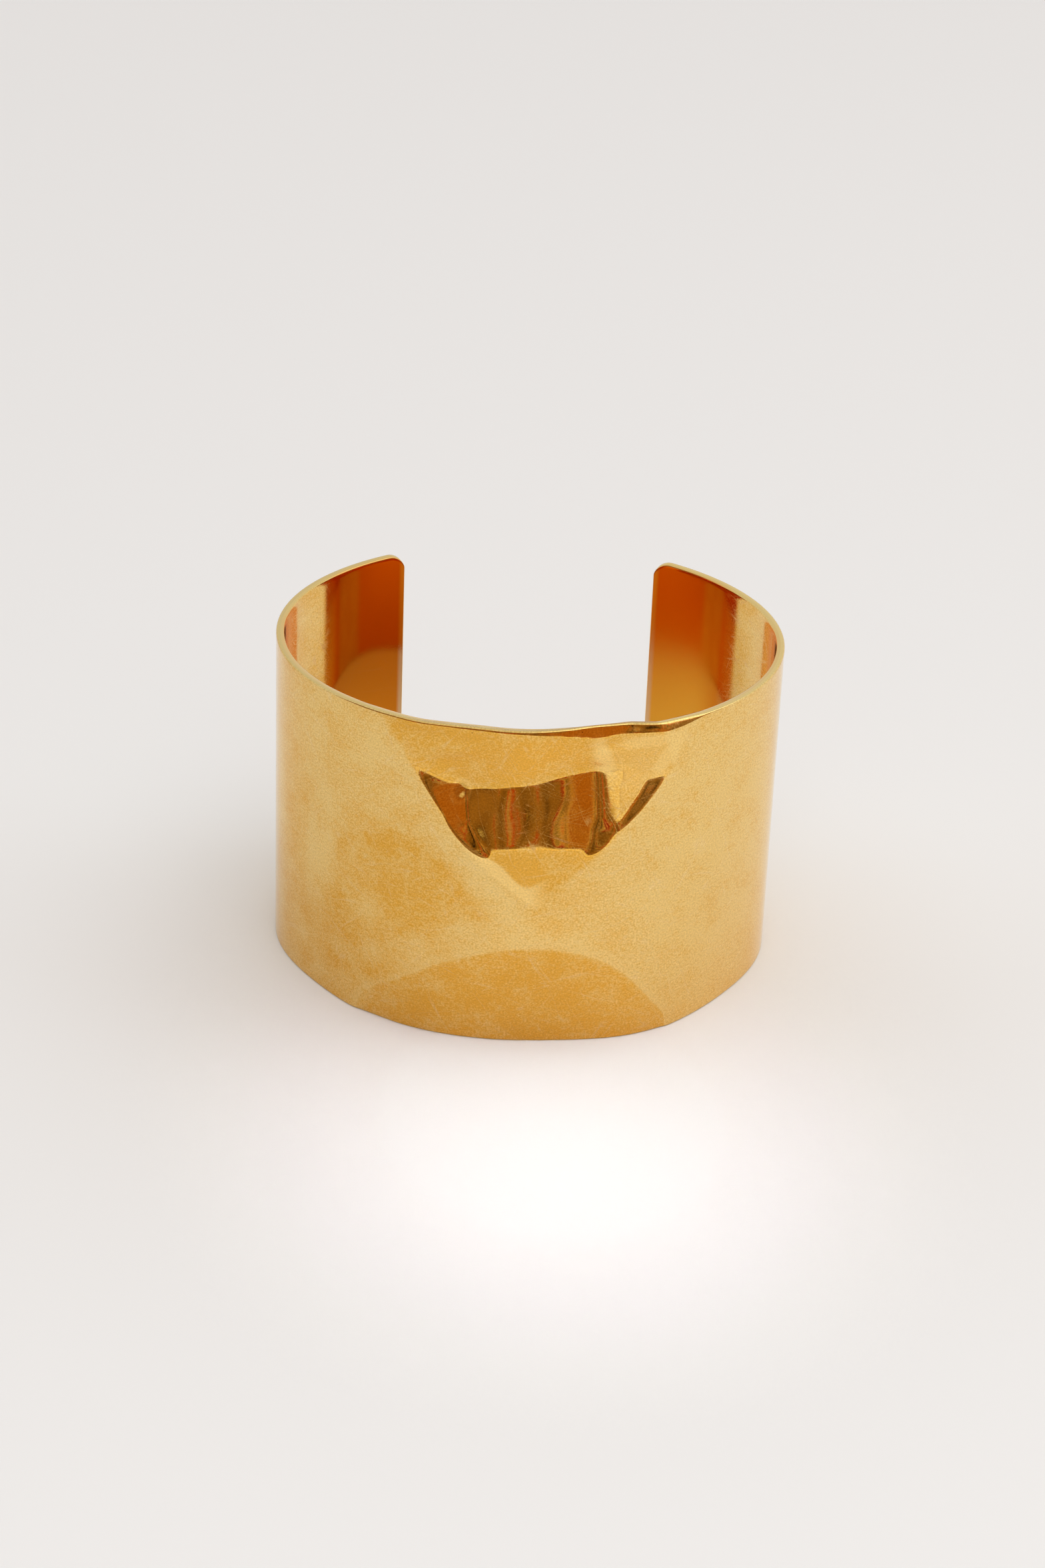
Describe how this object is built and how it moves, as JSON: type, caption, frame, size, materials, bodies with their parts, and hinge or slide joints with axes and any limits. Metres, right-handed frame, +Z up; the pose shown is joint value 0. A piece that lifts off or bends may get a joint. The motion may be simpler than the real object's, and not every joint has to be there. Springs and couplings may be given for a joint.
{
  "type": "cuff bracelet",
  "caption": "Wide open cuff bracelet: one oval band of gold-plated sheet, a gap at the back, a V-shaped fold pressed into its upper front and an arched tuck at the foot.",
  "frame": {"origin": "on the surface it stands on, under the middle of the band's bounding box", "axes": "+X across the wrist, -Y towards the folded front, +Y towards the gap, +Z up the band's height"},
  "size_m": [0.062, 0.0478, 0.0427],
  "materials": {
    "gold_plate": "polished gold plate with fine scuffs"
  },
  "bodies": {
    "root": {"cuff": "gold_plate"}
  },
  "joints": []
}
